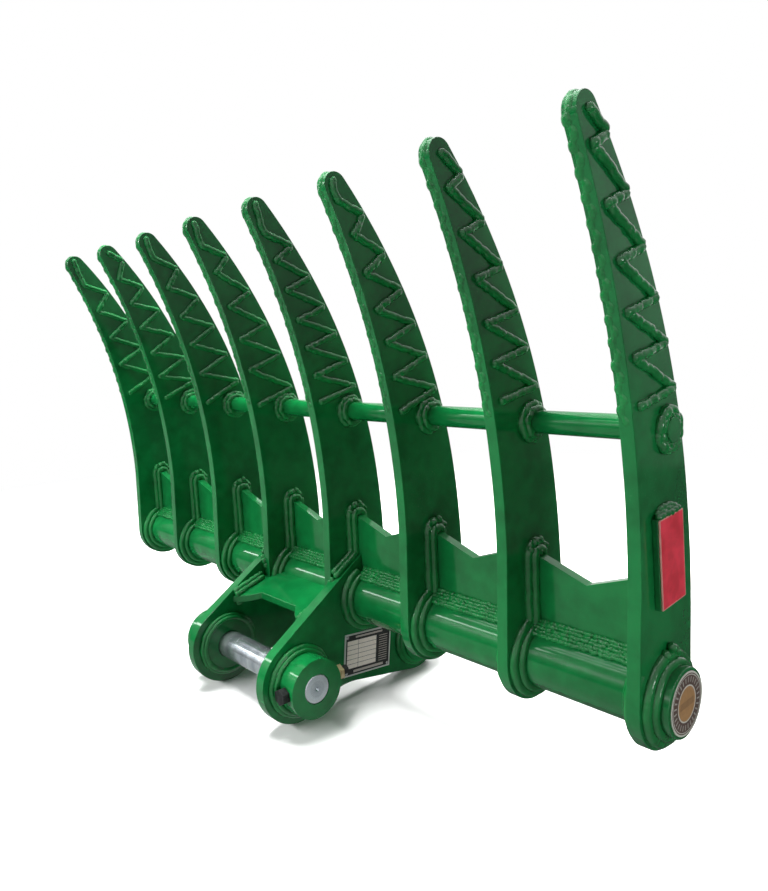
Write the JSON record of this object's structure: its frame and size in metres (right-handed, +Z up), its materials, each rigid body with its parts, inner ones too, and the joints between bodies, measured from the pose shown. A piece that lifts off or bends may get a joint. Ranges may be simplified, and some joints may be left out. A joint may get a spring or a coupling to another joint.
{
  "type": "brush rake",
  "caption": "Pin-on brush rake with curved plate tines on a tube, a round crossbar, web plates and a two-pin hitch.",
  "frame": {"origin": "middle of the front hitch pin's axis", "axes": "+X along the main tube to the end with the badge, +Y from the front pin to the rear pin, +Z up, with the tines upright and the hitch ears on the floor"},
  "size_m": [1.4338, 0.4206, 0.8687],
  "materials": {
    "green_paint": "gloss",
    "pin_steel": "satin",
    "black_bolt": "satin",
    "zinc_nut": "satin",
    "data_plate_face": "satin",
    "rivet_metal": "satin",
    "red_badge": "gloss",
    "disc_face": "gloss"
  },
  "bodies": {
    "frame": {"tine_1": "green_paint", "tine_2": "green_paint", "tine_3": "green_paint", "tine_4": "green_paint", "tine_5": "green_paint", "tine_6": "green_paint", "tine_7": "green_paint", "tine_8": "green_paint", "hardfacing_1": "green_paint", "hardfacing_2": "green_paint", "hardfacing_3": "green_paint", "hardfacing_4": "green_paint", "hardfacing_5": "green_paint", "hardfacing_6": "green_paint", "hardfacing_7": "green_paint", "hardfacing_8": "green_paint", "web_plate_1": "green_paint", "web_plate_2": "green_paint", "web_plate_3": "green_paint", "web_plate_4": "green_paint", "web_plate_5": "green_paint", "web_plate_6": "green_paint", "web_plate_7": "green_paint", "main_tube": "green_paint", "crossbar": "green_paint", "tube_cap_left": "green_paint", "tube_cap_right": "green_paint", "ear_left": "green_paint", "ear_right": "green_paint", "saddle_plate": "green_paint", "front_boss_inner_left": "green_paint", "front_boss_inner_right": "green_paint", "front_boss_outer_left": "green_paint", "front_boss_outer_right": "green_paint", "rear_boss_inner_left": "green_paint", "rear_boss_inner_right": "green_paint", "rear_boss_outer_left": "green_paint", "rear_boss_outer_right": "green_paint", "badge_pad": "green_paint", "crossbar_welds": "green_paint", "tube_welds": "green_paint", "web_welds": "green_paint", "hitch_welds": "green_paint", "data_plate": "data_plate_face", "data_plate_rivets": "rivet_metal", "badge_plate": "red_badge", "end_disc": "disc_face"},
    "front_pin": {"front_pin": "pin_steel"},
    "rear_pin": {"rear_pin": "pin_steel"},
    "front_bolt": {"front_pin_bolt": "black_bolt"},
    "front_nut": {"front_pin_nut": "zinc_nut", "front_pin_washer": "zinc_nut"},
    "rear_bolt": {"rear_pin_bolt": "black_bolt"},
    "rear_nut": {"rear_pin_nut": "zinc_nut", "rear_pin_washer": "zinc_nut"}
  },
  "joints": [
    {"name": "front_pin_float", "type": "slide", "parent": "frame", "child": "front_pin", "axis": [1, 0, 0], "range_m": [-0.0007, 0.0007]},
    {"name": "rear_pin_float", "type": "slide", "parent": "frame", "child": "rear_pin", "axis": [1, 0, 0], "range_m": [-0.0007, 0.0007]},
    {"name": "front_bolt_out", "type": "slide", "parent": "frame", "child": "front_bolt", "axis": [0, -1, 0], "range_m": [0, 0.13]},
    {"name": "front_nut_off", "type": "slide", "parent": "frame", "child": "front_nut", "axis": [0, 1, 0], "range_m": [0, 0.035]},
    {"name": "rear_bolt_out", "type": "slide", "parent": "frame", "child": "rear_bolt", "axis": [0, -1, 0], "range_m": [0, 0.12]},
    {"name": "rear_nut_off", "type": "slide", "parent": "frame", "child": "rear_nut", "axis": [0, 1, 0], "range_m": [0, 0.035]}
  ]
}
